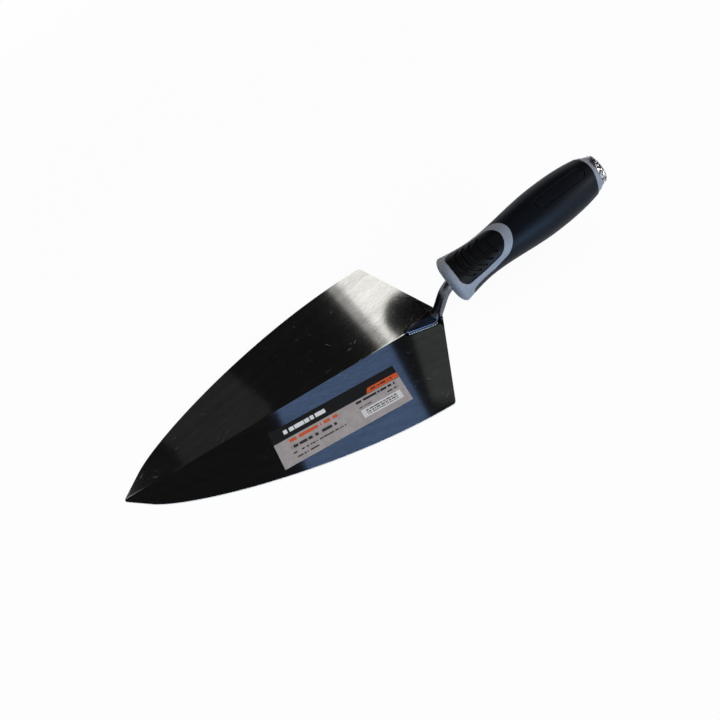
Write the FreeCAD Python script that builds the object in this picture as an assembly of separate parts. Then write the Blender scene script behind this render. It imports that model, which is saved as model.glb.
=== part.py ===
"""Brick trowel: a folded steel blade on a welded shank, with a two-material handle drawn up on the tang.

Working frame, in millimetres: +X runs from the blade's point towards the handle, +Z is up, and the XZ plane
is the trowel's middle plane. While it is modelled, the origin is at the blade's heel, on the crease of its
upper face. At the end every piece is moved so that the origin is the bottom centre of the whole trowel.

The handle has a frame of its own: x along the handle from the front of its nose, z away from the blade. It
is modelled lying along X and is then rolled, pitched and set on the shank.
"""

import FreeCAD, Part
import math
import os

from FreeCAD import Vector

# ---- blade: one folded sheet ----
blade_length = 275.0            # point to heel
blade_width = 140.0             # across the shoulders
blade_thickness = 1.4
blade_fold = 2.75               # degrees that each half rises from the crease
heel_depth = 33.4               # heel behind the shoulders
point_half_angle = 37.5         # degrees, each side of the middle line
point_straight = 22.4           # straight edge behind the point
cheek_pull = 31.6               # how far the side curve keeps the point's direction
side_pull = 93.0                # how far it keeps the shoulder's direction
side_angle = 0.8                # degrees that the sides still spread at the shoulders
point_radius = 2.0
shoulder_radius = 3.0
heel_radius = 2.0

# ---- shank: forged foot, neck and tang in one piece ----
neck_diameter = 8.6
neck_setback = 5.1              # neck's centre in front of the heel, on the blade
neck_rise = 33.9                # corner where neck and handle axes meet, above the crease
neck_lean = 17.7                # degrees that the neck leans back from upright
neck_bend = 24.0                # bend radius on the neck's centre line
foot_lead = 5.4                 # foot's rear round in front of the neck's centre
foot_run = 20.0                 # between the foot's two rounds
foot_rear_radius = 6.1
foot_point_radius = 1.9
foot_edge_rear = 2.6            # height of the foot's edge, rear and front
foot_edge_front = 2.0
foot_ridge_rear = 5.0           # height of its ridge, rear and front
foot_ridge_front = 3.4
flare_width = 1.9               # how far the neck spreads where it grows out of the foot
flare_height = 5.5
flare_sink = 6.0                # flare's start below the crease, cut away by the blade
weld_radius = 0.9
weld_wrap = 30.0                # degrees that each weld runs on round the foot's rear
tang_diameter = 7.0
tang_shoulder = 16.5            # along the handle, where the neck steps down to the tang
thread_diameter = 6.0
thread_run = 9.6                # thread behind the end of the tang
thread_relief = 1.2             # tang ends this far inside the washer's seat

# ---- handle ----
handle_pitch = 15.1             # degrees that the handle rises from the blade
handle_roll = 11.0              # degrees that it is turned about its own axis
nose_start = 1.6                # nose's face behind the corner of neck and handle
nose_length = 5.1               # from its face back to the flange
nose_face_radius = 7.8
flange_radius = 18.6
flange_slope = 11.3             # degrees that the grip falls away behind the flange
waist_station = 34.3
waist_radius = 14.95
belly_station = 85.3
belly_radius = 18.45
grip_end = 126.0
grip_end_radius = 14.1
grip_end_slope = 15.1
grip_front_gap = 6.3            # sleeve's front end behind the flange
grip_wall = 2.5
band_step = 0.6                 # hard band lies this much below the sleeve
band_length = 2.7               # behind the sleeve's longest point
band_end_radius = 12.3
scallop_depth = 3.6             # how far each side of the sleeve's rear end is cut back
saddle_split = 4.6              # side edge of the saddle above the handle's axis
saddle_centre = 44.4            # arch behind the thumb pad
saddle_radius = 13.2
saddle_front_half = 16.1        # half its width at the sleeve's front end
cheek_drop = 2.8                # its side edge falls this far towards the nose
cheek_run = 6.0                 # over this length behind the sleeve's front end
saddle_land = 1.0               # of the saddle under the pad's side edge
pad_margin = 2.3                # pad's front edge behind the flange
pad_front_half = 14.0
pad_centre = 39.9
pad_radius = 11.1
pad_corner_radius = 5.2
pad_wall = 2.6
groove_count = 5
groove_first = 4.0              # behind the pad's front edge
groove_pitch = 5.6              # between the first two grooves
groove_pitch_growth = 0.5       # each later pitch is this much longer
groove_radius = 12.5
groove_width = 2.0
groove_depth = 1.1
groove_rim = 2.4                # grooves stop this far inside the pad's edge
groove_span = 7.75              # length along the handle that each groove's arc covers
plaque_start = 80.8
plaque_length = 40.0
plaque_width = 8.8
plaque_line = 0.8
plaque_depth = 0.4

# ---- butt: cap over the nut that draws the handle up ----
cap_wall = 1.2
cap_length = 3.4                # tapered side, before its rounded end
cap_start_radius = 12.15
cap_end_radius = 11.2
cap_crown = 2.4                 # rounded end beyond the side
washer_radius = 6.2
washer_thickness = 1.6
nut_flats = 10.0
nut_height = 5.0
pocket_depth = 8.4              # washer's seat inside the spigot's end

# ---- label ----
label_length = 105.0
label_width = 32.4
label_thickness = 0.12
label_heel_gap = 108.8          # label's middle in front of the heel
label_side_gap = 38.4           # label's middle in from the line of the right shoulder
label_turn = -2.3               # degrees about the upright

# ---- fits ----
socket_gap = 0.25               # round the neck and the tang, in the handle
cap_gap = 0.1                   # between cap and spigot
washer_gap = 0.2                # washer in its pocket
thread_gap = 0.05               # thread in nut and washer
joint_overlap = 1.0             # bodies that are joined, or cut into each other, reach this far in

UP = Vector(0, 0, 1)
ALONG = Vector(1, 0, 0)
ACROSS = Vector(0, 1, 0)
ROUND = 0.5523                  # Bezier pull that makes a quarter of an ellipse
ROOM = 60.0                     # reach of the plain blocks that only cut
SAME_POINT = 0.01               # two points this near are one
FLARE_POLE_RISE = 0.4           # flare's curve: its middle pole, as shares of the flare's height
FLARE_POLE_WIDTH = 0.3          # and of its width
CHEEK_LOW_RUN = 0.15            # cheek's curve: its first pole, as shares of the cheek's run
CHEEK_LOW_RISE = 0.75           # and of its drop
CROWN_POLE_DROP = 0.1           # cap's rounded end: its upper side pole, as a share below the crown

fold = math.radians(blade_fold)
half_width = blade_width / 2
neck_radius = neck_diameter / 2
tang_radius = tang_diameter / 2
thread_radius = thread_diameter / 2
flange = nose_start + nose_length
grip_front = flange + grip_front_gap
pad_front = flange + pad_margin
band_end = grip_end + band_length
cap_side_end = band_end + cap_length
label_middle_x = -label_heel_gap
label_middle_y = label_side_gap - half_width
spigot_end = cap_side_end
washer_seat = spigot_end - pocket_depth


# ---------------------------------------------------------------- shared helpers
def line(a, b):
    return Part.LineSegment(a, b).toShape()


def arc(a, middle, b):
    return Part.Arc(a, middle, b).toShape()


def bezier(*poles):
    curve = Part.BezierCurve()
    curve.setPoles(list(poles))
    return curve.toShape()


def prism(edges, height):
    """Solid that stands on a closed outline, height along +Z."""
    return Part.Face(Part.Wire(Part.__sortEdges__(edges))).extrude(UP * height)


def turned(edges):
    """Solid of revolution about X, from a closed outline in the XY plane."""
    face = Part.Face(Part.Wire(Part.__sortEdges__(edges)))
    return face.revolve(Vector(0, 0, 0), ALONG, 360)


def turned_polygon(points):
    ring = [Vector(x, r, 0) for x, r in points]
    return turned([line(a, b) for a, b in zip(ring, ring[1:] + ring[:1])])


def upright_edges(solid, x, y):
    """Edges of a prism that stand at one corner of its outline."""
    found = []
    for edge in solid.Edges:
        ends = edge.Vertexes
        if all(math.hypot(v.X - x, v.Y - y) < SAME_POINT for v in ends) and len(ends) == 2:
            found.append(edge)
    return found


def slab(x0, x1):
    """Everything between two stations of the handle."""
    return Part.makeBox(x1 - x0, 2 * ROOM, 2 * ROOM, Vector(x0, -ROOM, -ROOM))


def keyhole(front, front_half, centre, radius):
    """Outline with a straight front edge whose sides run tangent to a round end."""
    reach = math.hypot(centre - front, front_half)
    towards = math.atan2(-front_half, centre - front)
    spread = math.asin(radius / reach)
    run = math.sqrt(reach * reach - radius * radius)
    heading = towards + spread
    touch = Vector(front + run * math.cos(heading), front_half + run * math.sin(heading), 0)
    mirror = Vector(touch.x, -touch.y, 0)
    left = Vector(front, front_half, 0)
    right = Vector(front, -front_half, 0)
    end = Vector(centre + radius, 0, 0)
    return [line(right, left), line(left, touch), arc(touch, end, mirror), line(mirror, right)]


# ---------------------------------------------------------------- blade
def valley(top, depth):
    """V-shaped body along the blade, from a height at the crease down by depth, square to the sheet."""
    rise = ROOM * 2 * math.tan(fold)
    drop = depth / math.cos(fold)
    corners = [(-2 * ROOM, top + rise), (0, top), (2 * ROOM, top + rise),
               (2 * ROOM, top + rise - drop), (0, top - drop), (-2 * ROOM, top + rise - drop)]
    ring = [Vector(-blade_length - ROOM, y, z) for y, z in corners]
    edges = [line(a, b) for a, b in zip(ring, ring[1:] + ring[:1])]
    return Part.Face(Part.Wire(edges)).extrude(ALONG * (blade_length + 2 * ROOM))


def blade_outline():
    angle = math.radians(point_half_angle)
    spread = math.radians(side_angle)
    point = Vector(-blade_length, 0, 0)
    heel = Vector(0, 0, 0)
    ahead = Vector(math.cos(angle), math.sin(angle), 0)
    astern = Vector(math.cos(spread), math.sin(spread), 0)
    cheek = point + ahead * point_straight
    shoulder = Vector(-heel_depth, half_width, 0)
    side = [point, cheek, cheek + ahead * cheek_pull, shoulder - astern * side_pull, shoulder]

    def half(sign):
        p, a, b, c, d = [Vector(v.x, sign * v.y, 0) for v in side]
        return [line(p, a), bezier(a, b, c, d), line(d, heel)]

    return half(1) + half(-1)


def make_blade():
    plan = prism(blade_outline(), ROOM)
    plan.translate(UP * (-ROOM / 2))
    corners = [(-blade_length, 0, point_radius), (0, 0, heel_radius),
               (-heel_depth, half_width, shoulder_radius), (-heel_depth, -half_width, shoulder_radius)]
    for x, y, radius in corners:
        plan = plan.makeFillet(radius, upright_edges(plan, x, y))
    return plan.common(valley(0, blade_thickness))


# ---------------------------------------------------------------- shank
def along_handle(x, y=0.0, z=0.0):
    """Point of the handle's frame in the trowel's frame."""
    return handle_place().multVec(Vector(x, y, z))


def neck_direction():
    lean = math.radians(neck_lean)
    return Vector(math.sin(lean), 0, math.cos(lean))


def handle_direction():
    pitch = math.radians(handle_pitch)
    return Vector(math.cos(pitch), 0, math.sin(pitch))


def neck_foot():
    return Vector(-neck_setback, 0, 0)


def neck_corner():
    return neck_foot() + neck_direction() * (neck_rise / math.cos(math.radians(neck_lean)))


def handle_place():
    pitch = FreeCAD.Rotation(ACROSS, -handle_pitch)
    roll = FreeCAD.Rotation(ALONG, handle_roll)
    return FreeCAD.Placement(neck_corner(), pitch.multiply(roll))


def neck_rod(radius, sink, reach):
    """Bent round rod: up the neck from sink below the crease, then along the handle to reach."""
    turn = math.radians(90 - neck_lean - handle_pitch)
    lead = neck_bend * math.tan(turn / 2)
    up, back, corner = neck_direction(), handle_direction(), neck_corner()
    start = neck_foot() - up * sink
    bend_start = corner - up * lead
    bend_end = corner + back * lead
    inward = (back - up).normalize()
    middle = corner + inward * (neck_bend / math.cos(turn / 2) - neck_bend)
    end = corner + back * reach
    path = Part.Wire([line(start, bend_start), arc(bend_start, middle, bend_end), line(bend_end, end)])
    section = Part.Wire([Part.Circle(start, up, radius).toShape()])
    return path.makePipeShell([section], True, False)


def foot_outline(grow=0.0):
    """Two rounds and their common tangents, seen from above."""
    rear = Vector(-neck_setback - foot_lead, 0, 0)
    front = rear - ALONG * foot_run
    rear_radius = foot_rear_radius + grow
    front_radius = foot_point_radius + grow
    lean = math.asin((rear_radius - front_radius) / foot_run)
    square = Vector(-math.sin(lean), math.cos(lean), 0)
    mirror = Vector(square.x, -square.y, 0)
    a, b = rear + square * rear_radius, front + square * front_radius
    c, d = front + mirror * front_radius, rear + mirror * rear_radius
    return rear, square, [line(a, b), arc(b, front - ALONG * front_radius, c), line(c, d),
                          arc(d, rear + ALONG * rear_radius, a)]


def foot_roof():
    """Ridged block over the foot: its section grows from the front round to the rear one."""
    rear = -neck_setback - foot_lead
    front = rear - foot_run

    def section(x):
        share = (x - front) / foot_run
        half = foot_point_radius + (foot_rear_radius - foot_point_radius) * share
        edge = foot_edge_front + (foot_edge_rear - foot_edge_front) * share
        ridge = foot_ridge_front + (foot_ridge_rear - foot_ridge_front) * share
        reach = 2 * half
        low = edge - (ridge - edge)
        corners = [(-reach, -ROOM), (reach, -ROOM), (reach, low), (0, ridge), (-reach, low)]
        ring = [Vector(x, y, z) for y, z in corners]
        return Part.Wire([line(p, q) for p, q in zip(ring, ring[1:] + ring[:1])])

    ends = [section(front - foot_point_radius), section(rear + 2 * foot_rear_radius)]
    return Part.makeLoft(ends, True, True)


def neck_flare():
    """Hollow-sided spread of the neck where it grows out of the foot."""
    base = Vector(0, neck_radius + flare_width, 0)
    low = Vector(-flare_sink, neck_radius + flare_width, 0)
    stem = Vector(foot_ridge_rear / 2 + flare_height, neck_radius, 0)
    middle = Vector(stem.x * FLARE_POLE_RISE, neck_radius + flare_width * FLARE_POLE_WIDTH, 0)
    centre_low, centre_high = Vector(low.x, 0, 0), Vector(stem.x, 0, 0)
    cone = turned([line(centre_low, low), line(low, base), bezier(base, middle, stem),
                   line(stem, centre_high), line(centre_high, centre_low)])
    cone.Placement = FreeCAD.Placement(neck_foot(), FreeCAD.Rotation(ALONG, neck_direction()))
    return cone


def make_shank():
    block = prism(foot_outline()[2], ROOM)
    block.translate(UP * (-ROOM / 2))
    foot = foot_roof().common(block).fuse(neck_flare().common(block))
    neck = neck_rod(neck_radius, blade_thickness * 2, tang_shoulder)
    back = handle_direction()
    tang_end = washer_seat - thread_relief
    tang = Part.makeCylinder(tang_radius, tang_end - tang_shoulder, along_handle(tang_shoulder), back)
    thread = Part.makeCylinder(thread_radius, thread_run, along_handle(tang_end), back)
    shank = foot.fuse([neck, tang, thread])
    return shank.cut(valley(0, ROOM)).removeSplitter()


def make_weld(side, shank):
    """Bead along one edge of the foot, running on a little round its rear."""
    rear, square, _ = foot_outline()
    across = Vector(square.x, side * square.y, 0)
    lengthwise = Vector(-across.y * side, across.x * side, 0)
    if lengthwise.x > 0:
        lengthwise = lengthwise * -1
    start = rear + across * foot_rear_radius
    end = start + lengthwise * (foot_run * math.sqrt(1 - square.x ** 2))
    wrap = FreeCAD.Rotation(UP, -side * weld_wrap)
    half_wrap = FreeCAD.Rotation(UP, -side * weld_wrap / 2)
    middle = rear + half_wrap.multVec(across) * foot_rear_radius
    last = rear + wrap.multVec(across) * foot_rear_radius
    path = Part.Wire([line(end, start), arc(start, middle, last)])
    section = Part.Wire([Part.Circle(end, lengthwise * -1, weld_radius).toShape()])
    bead = path.makePipeShell([section], True, False)
    for tip in (end, last):
        bead = bead.fuse(Part.makeSphere(weld_radius, tip))
    rise = foot_rear_radius * math.tan(fold) / 2
    bead.translate(UP * rise)
    return bead.cut(shank).cut(valley(0, ROOM)).removeSplitter()


# ---------------------------------------------------------------- handle
def handle_form(inset):
    """Whole outer form of the handle, set in by a wall thickness."""
    slope_front = math.tan(math.radians(flange_slope))
    slope_end = math.tan(math.radians(grip_end_slope))
    front_third = (waist_station - flange) / 3
    middle_third = (belly_station - waist_station) / 3
    end_third = (grip_end - belly_station) / 3

    def at(x, radius):
        return Vector(x, radius - inset, 0)

    nose_axis = Vector(nose_start + inset, 0, 0)
    nose_edge = Vector(nose_start + inset, nose_face_radius, 0)
    rim = at(flange, flange_radius)
    nose_rise = rim.y - nose_face_radius
    nose_run = nose_length - inset
    waist = at(waist_station, waist_radius)
    belly = at(belly_station, belly_radius)
    end = at(grip_end, grip_end_radius)
    band = at(band_end, band_end_radius)
    return turned([
        line(nose_axis, nose_edge),
        bezier(nose_edge, nose_edge + ACROSS * (ROUND * nose_rise), rim - ALONG * (ROUND * nose_run), rim),
        bezier(rim, at(flange + front_third, flange_radius - slope_front * front_third),
               at(waist_station - front_third, waist_radius), waist),
        bezier(waist, at(waist_station + middle_third, waist_radius),
               at(belly_station - middle_third, belly_radius), belly),
        bezier(belly, at(belly_station + end_third, belly_radius),
               at(grip_end - end_third, grip_end_radius + slope_end * end_third), end),
        line(end, band),
        line(band, Vector(band_end, 0, 0)),
        line(Vector(band_end, 0, 0), nose_axis),
    ])


def saddle_cheek():
    """Space over the saddle's front corners, where its side edge curves down to the sleeve's end."""
    low = Vector(grip_front, -ROOM, saddle_split - cheek_drop)
    end = Vector(grip_front + cheek_run, -ROOM, saddle_split)
    edge = bezier(low, low + ALONG * (cheek_run * CHEEK_LOW_RUN) + UP * (cheek_drop * CHEEK_LOW_RISE),
                  end - ALONG * (cheek_run * ROUND), end)
    over_end, over_low = Vector(end.x, -ROOM, ROOM), Vector(low.x, -ROOM, ROOM)
    side = Part.Face(Part.Wire([edge, line(end, over_end), line(over_end, over_low), line(over_low, low)]))
    return side.extrude(ACROSS * (2 * ROOM))


def saddle_block():
    block = prism(keyhole(grip_front, saddle_front_half, saddle_centre, saddle_radius), ROOM)
    block.translate(UP * saddle_split)
    return block.fuse(saddle_cheek())


def pad_block(rim=0.0):
    """Space over the thumb pad, or over what lies inside its rim."""
    front = pad_front + rim
    block = prism(keyhole(front, pad_front_half - rim, pad_centre, pad_radius - rim), ROOM)
    corner = pad_corner_radius * (1 - rim / pad_radius)
    for side in (1, -1):
        block = block.makeFillet(corner, upright_edges(block, front, side * (pad_front_half - rim)))
    block.translate(UP * (saddle_split + saddle_land))
    return block


def pad_blank():
    return handle_form(0).cut(handle_form(pad_wall)).common(pad_block())


def groove_ring(station):
    """One thumb groove seen from above: part of a ring that bulges towards the nose."""
    centre = Vector(station + groove_radius, 0, 0)
    outer = Part.makeCylinder(groove_radius, ROOM, centre)
    inner = Part.makeCylinder(groove_radius - groove_width, ROOM, centre)
    span = Part.makeBox(groove_span, 2 * ROOM, ROOM, Vector(station, -ROOM, 0))
    return outer.cut(inner).common(span)


def make_thumb_pad():
    pad = pad_blank()
    inside = pad_block(groove_rim)
    floor = handle_form(groove_depth)
    station = pad_front + groove_first
    for index in range(groove_count):
        pad = pad.cut(groove_ring(station).common(inside).cut(floor))
        station += groove_pitch + index * groove_pitch_growth
    return pad


def sleeve_blank():
    """Soft sleeve before its plaque is cut: all round, open on top for the saddle."""
    skin = handle_form(0).cut(handle_form(grip_wall)).common(slab(grip_front, grip_end))
    scallop_radius = (grip_end_radius ** 2 + scallop_depth ** 2) / (2 * scallop_depth)
    scallop_centre = grip_end - scallop_depth + scallop_radius
    scallop = Part.makeCylinder(scallop_radius, 2 * ROOM, Vector(scallop_centre, -ROOM, 0), ACROSS)
    return skin.cut(saddle_block()).cut(scallop)


def plaque_ring():
    """Groove round the plaque on top of the sleeve: a long loop with round ends."""
    def loop(half):
        a = Vector(plaque_start + plaque_width / 2, half, 0)
        b = Vector(plaque_start + plaque_length - plaque_width / 2, half, 0)
        c, d = Vector(b.x, -half, 0), Vector(a.x, -half, 0)
        return prism([line(a, b), arc(b, Vector(b.x + half, 0, 0), c), line(c, d),
                      arc(d, Vector(a.x - half, 0, 0), a)], ROOM)

    return loop(plaque_width / 2).cut(loop(plaque_width / 2 - plaque_line))


def make_grip_sleeve():
    groove = plaque_ring().cut(handle_form(plaque_depth))
    return sleeve_blank().cut(groove)


def cap_profile(inset):
    """Cap's side and crown, set in by a wall: (side start, side end, crown shoulder, crown middle)."""
    fall = (cap_start_radius - cap_end_radius) / cap_length
    side = inset * math.sqrt(1 + fall * fall)
    start = Vector(band_end, cap_start_radius - side, 0)
    end_x = cap_side_end - inset
    end = Vector(end_x, cap_start_radius - side - fall * (end_x - band_end), 0)
    crown = Vector(cap_side_end + cap_crown - inset, 0, 0)
    return start, end, crown


def capped_solid(inset):
    start, end, crown = cap_profile(inset)
    corner = Vector(crown.x - (crown.x - end.x) * CROWN_POLE_DROP, end.y, 0)
    shoulder = Vector(crown.x, end.y * ROUND, 0)
    foot = Vector(start.x, 0, 0)
    round_end = bezier(end, corner, shoulder, crown)
    return turned([line(foot, start), line(start, end), round_end, line(crown, foot)])


def make_butt_cap():
    return capped_solid(0).cut(capped_solid(cap_wall))


def make_handle_core():
    """Hard core: nose, saddle round the thumb pad, butt band and the spigot under the cap."""
    front = handle_form(0).common(slab(0, belly_station))
    rear = handle_form(band_step).common(slab(belly_station, band_end))
    body = front.fuse(rear).cut(sleeve_blank()).cut(pad_blank())
    spigot = capped_solid(cap_wall + cap_gap).common(slab(band_end - joint_overlap, spigot_end))
    body = body.fuse(spigot)
    pocket = Part.makeCylinder(washer_radius + washer_gap, ROOM, Vector(washer_seat, 0, 0), ALONG)
    bore_start = tang_shoulder - joint_overlap
    bore_length = washer_seat - bore_start
    bore = Part.makeCylinder(tang_radius + socket_gap, bore_length, Vector(bore_start, 0, 0), ALONG)
    body = body.cut(pocket).cut(bore)
    body.Placement = handle_place()
    return body.cut(neck_rod(neck_radius + socket_gap, 0, tang_shoulder)).removeSplitter()


# ---------------------------------------------------------------- fastening in the butt
def make_washer():
    hole = thread_radius + thread_gap
    end = washer_seat + washer_thickness
    rim = washer_radius
    return turned_polygon([(washer_seat, hole), (washer_seat, rim), (end, rim), (end, hole)])


def make_nut():
    start = washer_seat + washer_thickness
    corner_radius = nut_flats / 2 / math.cos(math.pi / 6)
    ring = []
    for step in range(6):
        angle = step * math.pi / 3
        ring.append(Vector(start, corner_radius * math.cos(angle), corner_radius * math.sin(angle)))
    hexagon = Part.Face(Part.Wire([line(a, b) for a, b in zip(ring, ring[1:] + ring[:1])]))
    hole = Part.makeCylinder(thread_radius + thread_gap, nut_height, Vector(start, 0, 0), ALONG)
    return hexagon.extrude(ALONG * nut_height).cut(hole)


# ---------------------------------------------------------------- label
def make_label():
    corner = Vector(-label_length / 2, -label_width / 2, 0)
    label = Part.makeBox(label_length, label_width, label_thickness, corner)
    turn = FreeCAD.Rotation(UP, label_turn)
    lean = FreeCAD.Rotation(ALONG, -blade_fold)
    height = -label_middle_y * math.tan(fold)
    label.Placement = FreeCAD.Placement(Vector(label_middle_x, label_middle_y, height), lean.multiply(turn))
    return label


# ---------------------------------------------------------------- the trowel
def make_trowel():
    shank = make_shank()
    pieces = {
        "blade": make_blade(),
        "shank": shank,
        "weld_left": make_weld(1, shank),
        "weld_right": make_weld(-1, shank),
        "handle_core": make_handle_core(),
        "blade_label": make_label(),
    }
    on_handle = {
        "grip_sleeve": make_grip_sleeve(),
        "thumb_pad": make_thumb_pad(),
        "butt_cap": make_butt_cap(),
        "tang_washer": make_washer(),
        "tang_nut": make_nut(),
    }
    for name, shape in on_handle.items():
        shape.Placement = handle_place()
        pieces[name] = shape
    return pieces


def main():
    os.makedirs("parts", exist_ok=True)
    pieces = make_trowel()
    box = Part.makeCompound(list(pieces.values())).optimalBoundingBox(False, False)
    origin = Vector((box.XMin + box.XMax) / 2, 0, box.ZMin)
    for name, shape in pieces.items():
        shape.translate(origin * -1)
        shape.exportStep(f"parts/{name}.step")
        print(f"{name}: {len(shape.Solids)} solid, {shape.Volume / 1000:.2f} cm3, valid {shape.isValid()}")
    print(f"origin from the heel: {origin.x:.3f}, {origin.y:.3f}, {origin.z:.3f}")
    print(f"size: {box.XLength:.2f} x {box.YLength:.2f} x {box.ZLength:.2f}")


main()
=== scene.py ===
"""Brick trowel: the visible model, its finishes and a plain studio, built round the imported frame.

Lengths are in metres in the row frame: +X runs from the blade's point towards the handle and +Z is up.
Sizes are written in millimetres times MM. The handle has a frame of its own: x along the handle from the
corner where neck and handle meet, z away from the blade.
"""

import logging
import math
from dataclasses import dataclass, field
from enum import Enum
from typing import Callable, Sequence

import bmesh
import bpy
from mathutils import Matrix, Vector, noise
from mathutils.geometry import interpolate_bezier


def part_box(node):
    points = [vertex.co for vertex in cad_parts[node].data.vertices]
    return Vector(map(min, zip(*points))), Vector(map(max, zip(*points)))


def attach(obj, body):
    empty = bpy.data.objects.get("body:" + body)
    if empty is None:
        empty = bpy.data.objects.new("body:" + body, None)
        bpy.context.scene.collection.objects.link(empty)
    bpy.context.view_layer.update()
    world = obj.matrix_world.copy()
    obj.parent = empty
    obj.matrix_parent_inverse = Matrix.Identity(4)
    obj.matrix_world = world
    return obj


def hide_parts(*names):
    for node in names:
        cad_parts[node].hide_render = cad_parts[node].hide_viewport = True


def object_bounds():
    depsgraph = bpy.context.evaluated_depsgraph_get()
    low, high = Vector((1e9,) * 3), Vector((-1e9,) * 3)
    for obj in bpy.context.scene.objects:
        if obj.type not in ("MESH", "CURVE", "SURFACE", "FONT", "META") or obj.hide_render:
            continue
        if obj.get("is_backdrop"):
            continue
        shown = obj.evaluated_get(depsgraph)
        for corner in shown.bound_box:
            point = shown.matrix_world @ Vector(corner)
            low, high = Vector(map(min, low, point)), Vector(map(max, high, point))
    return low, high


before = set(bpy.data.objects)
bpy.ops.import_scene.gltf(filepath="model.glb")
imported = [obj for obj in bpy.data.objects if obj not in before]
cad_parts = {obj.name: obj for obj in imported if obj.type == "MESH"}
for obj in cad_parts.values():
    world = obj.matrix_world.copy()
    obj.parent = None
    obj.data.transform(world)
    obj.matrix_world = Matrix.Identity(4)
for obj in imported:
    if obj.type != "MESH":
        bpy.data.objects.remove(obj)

MM = 0.001
BODY = "root"
RIM = "rim"  # the cap's attribute: 1 round its side, 0 on its crown
WARM = (1.0, 0.985, 0.94)
WHITE = (1.0, 1.0, 1.0)
log = logging.getLogger("trowel")

Colour = tuple[float, float, float]
Place = Callable[[float, float], Vector]
Span = tuple[float, float]


class Slot(Enum):
    """Material slot names."""

    BLADE = "blade_steel"
    FORGED = "forged_steel"
    WELD = "weld_metal"
    GREY = "grey_plastic"
    RUBBER = "black_rubber"
    PAD = "pad_rubber"
    CHROME = "cap_chrome"
    ZINC = "zinc_steel"
    LABEL = "label_vinyl"


# ---------------------------------------------------------------- shader expressions
def _operator(operation: str, swapped: bool = False) -> Callable[["Wire", "Wire | float"], "Wire"]:
    """Makes a method that adds a Math node.

    Args:
        operation: what the node does with its two values.
        swapped: puts the other value first, as a reflected operator needs.

    Returns:
        The method.
    """
    def method(self: "Wire", other: "Wire | float") -> "Wire":
        """Math node on the two values."""
        values = (other, self) if swapped else (self, other)
        return self.calculate(operation, *values)
    return method


class Wire:
    """A socket's value in a shader expression: arithmetic on it adds Math nodes."""

    __add__, __radd__ = _operator("ADD"), _operator("ADD", True)
    __sub__, __rsub__ = _operator("SUBTRACT"), _operator("SUBTRACT", True)
    __mul__, __rmul__ = _operator("MULTIPLY"), _operator("MULTIPLY", True)
    __truediv__, __rtruediv__ = _operator("DIVIDE"), _operator("DIVIDE", True)
    __gt__, __lt__ = _operator("GREATER_THAN"), _operator("LESS_THAN")
    least, most = _operator("MINIMUM"), _operator("MAXIMUM")

    def __init__(self, paint: "Paint", socket: bpy.types.NodeSocket) -> None:
        """Keeps the socket and the paint whose node tree it is in."""
        self.paint = paint
        self.socket = socket

    def calculate(self, operation: str, *values: "Wire | float") -> "Wire":
        """Math node of that operation on the given values."""
        return self.paint.node("Math", {"operation": operation}, dict(enumerate(values)))

    def __abs__(self) -> "Wire":
        """Size without its sign."""
        return self.calculate("ABSOLUTE", self)

    def sine(self) -> "Wire":
        """Sine of an angle in radians."""
        return self.calculate("SINE", self)


class Paint:
    """A material under construction, or the world's shader."""

    def __init__(self, tree: bpy.types.NodeTree) -> None:
        """Empties the node tree that is going to be painted in."""
        self.tree = tree
        tree.nodes.clear()

    def node(self, kind: str, settings: dict | None = None, inputs: dict | None = None,
             out: int | str = 0) -> Wire:
        """Adds one shader node.

        Args:
            kind: node type without its ShaderNode prefix.
            settings: attributes that are set before the sockets.
            inputs: socket name or number to a Wire or a plain value.
            out: output that is returned.

        Returns:
            The chosen output.
        """
        made = self.tree.nodes.new("ShaderNode" + kind)
        for key, value in (settings or {}).items():
            setattr(made, key, value)
        for key, value in (inputs or {}).items():
            socket = made.inputs[key]
            if isinstance(value, Wire):
                self.tree.links.new(value.socket, socket)
            else:
                socket.default_value = value
        return Wire(self, made.outputs[out])

    def output(self, shader: Wire, kind: str = "OutputMaterial") -> None:
        """Links a shader to the tree's output."""
        made = self.tree.nodes.new("ShaderNode" + kind)
        self.tree.links.new(shader.socket, made.inputs[0])

    def coordinates(self, layer: str = "Object") -> tuple[Wire, Wire, Wire]:
        """The x, y and z of one of Texture Coordinate's outputs."""
        vector = self.node("TexCoord", out=layer)
        return tuple(self.node("SeparateXYZ", inputs={0: vector}, out=axis) for axis in "XYZ")

    def vector(self, x: Wire | float, y: Wire | float, z: Wire | float = 0.0) -> Wire:
        """A vector from three values."""
        return self.node("CombineXYZ", inputs={0: x, 1: y, 2: z})

    def length(self, x: Wire, y: Wire) -> Wire:
        """Length of a flat vector."""
        return self.node("VectorMath", {"operation": "LENGTH"}, {0: self.vector(x, y)}, "Value")

    def noise(self, vector: Wire, scale: float = 1.0, detail: float = 2.0, rough: float = 0.5) -> Wire:
        """Noise around 0.5."""
        inputs = {"Vector": vector, "Scale": scale, "Detail": detail, "Roughness": rough}
        return self.node("TexNoise", {"noise_dimensions": "3D"}, inputs, "Fac")

    def step(self, value: Wire, low: float, high: float, start: float = 0.0, end: float = 1.0) -> Wire:
        """Smooth change from start at low to end at high."""
        inputs = {"Value": value, "From Min": low, "From Max": high, "To Min": start, "To Max": end}
        return self.node("MapRange", {"interpolation_type": "SMOOTHSTEP"}, inputs)

    def mix(self, share: Wire | float, first: Wire | Colour, second: Wire | Colour,
            blend: str = "MIX") -> Wire:
        """Colour between two colours, or the second blended over the first in another way."""
        settings = {"data_type": "RGBA", "blend_type": blend}
        first, second = (value if isinstance(value, Wire) else (*value, 1.0) for value in (first, second))
        return self.node("Mix", settings, {0: share, 6: first, 7: second}, 2)

    def bump(self, height: Wire) -> Wire:
        """Normal for a height in metres."""
        return self.node("Bump", None, {"Height": height, "Distance": 1.0, "Strength": 1.0})


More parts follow.
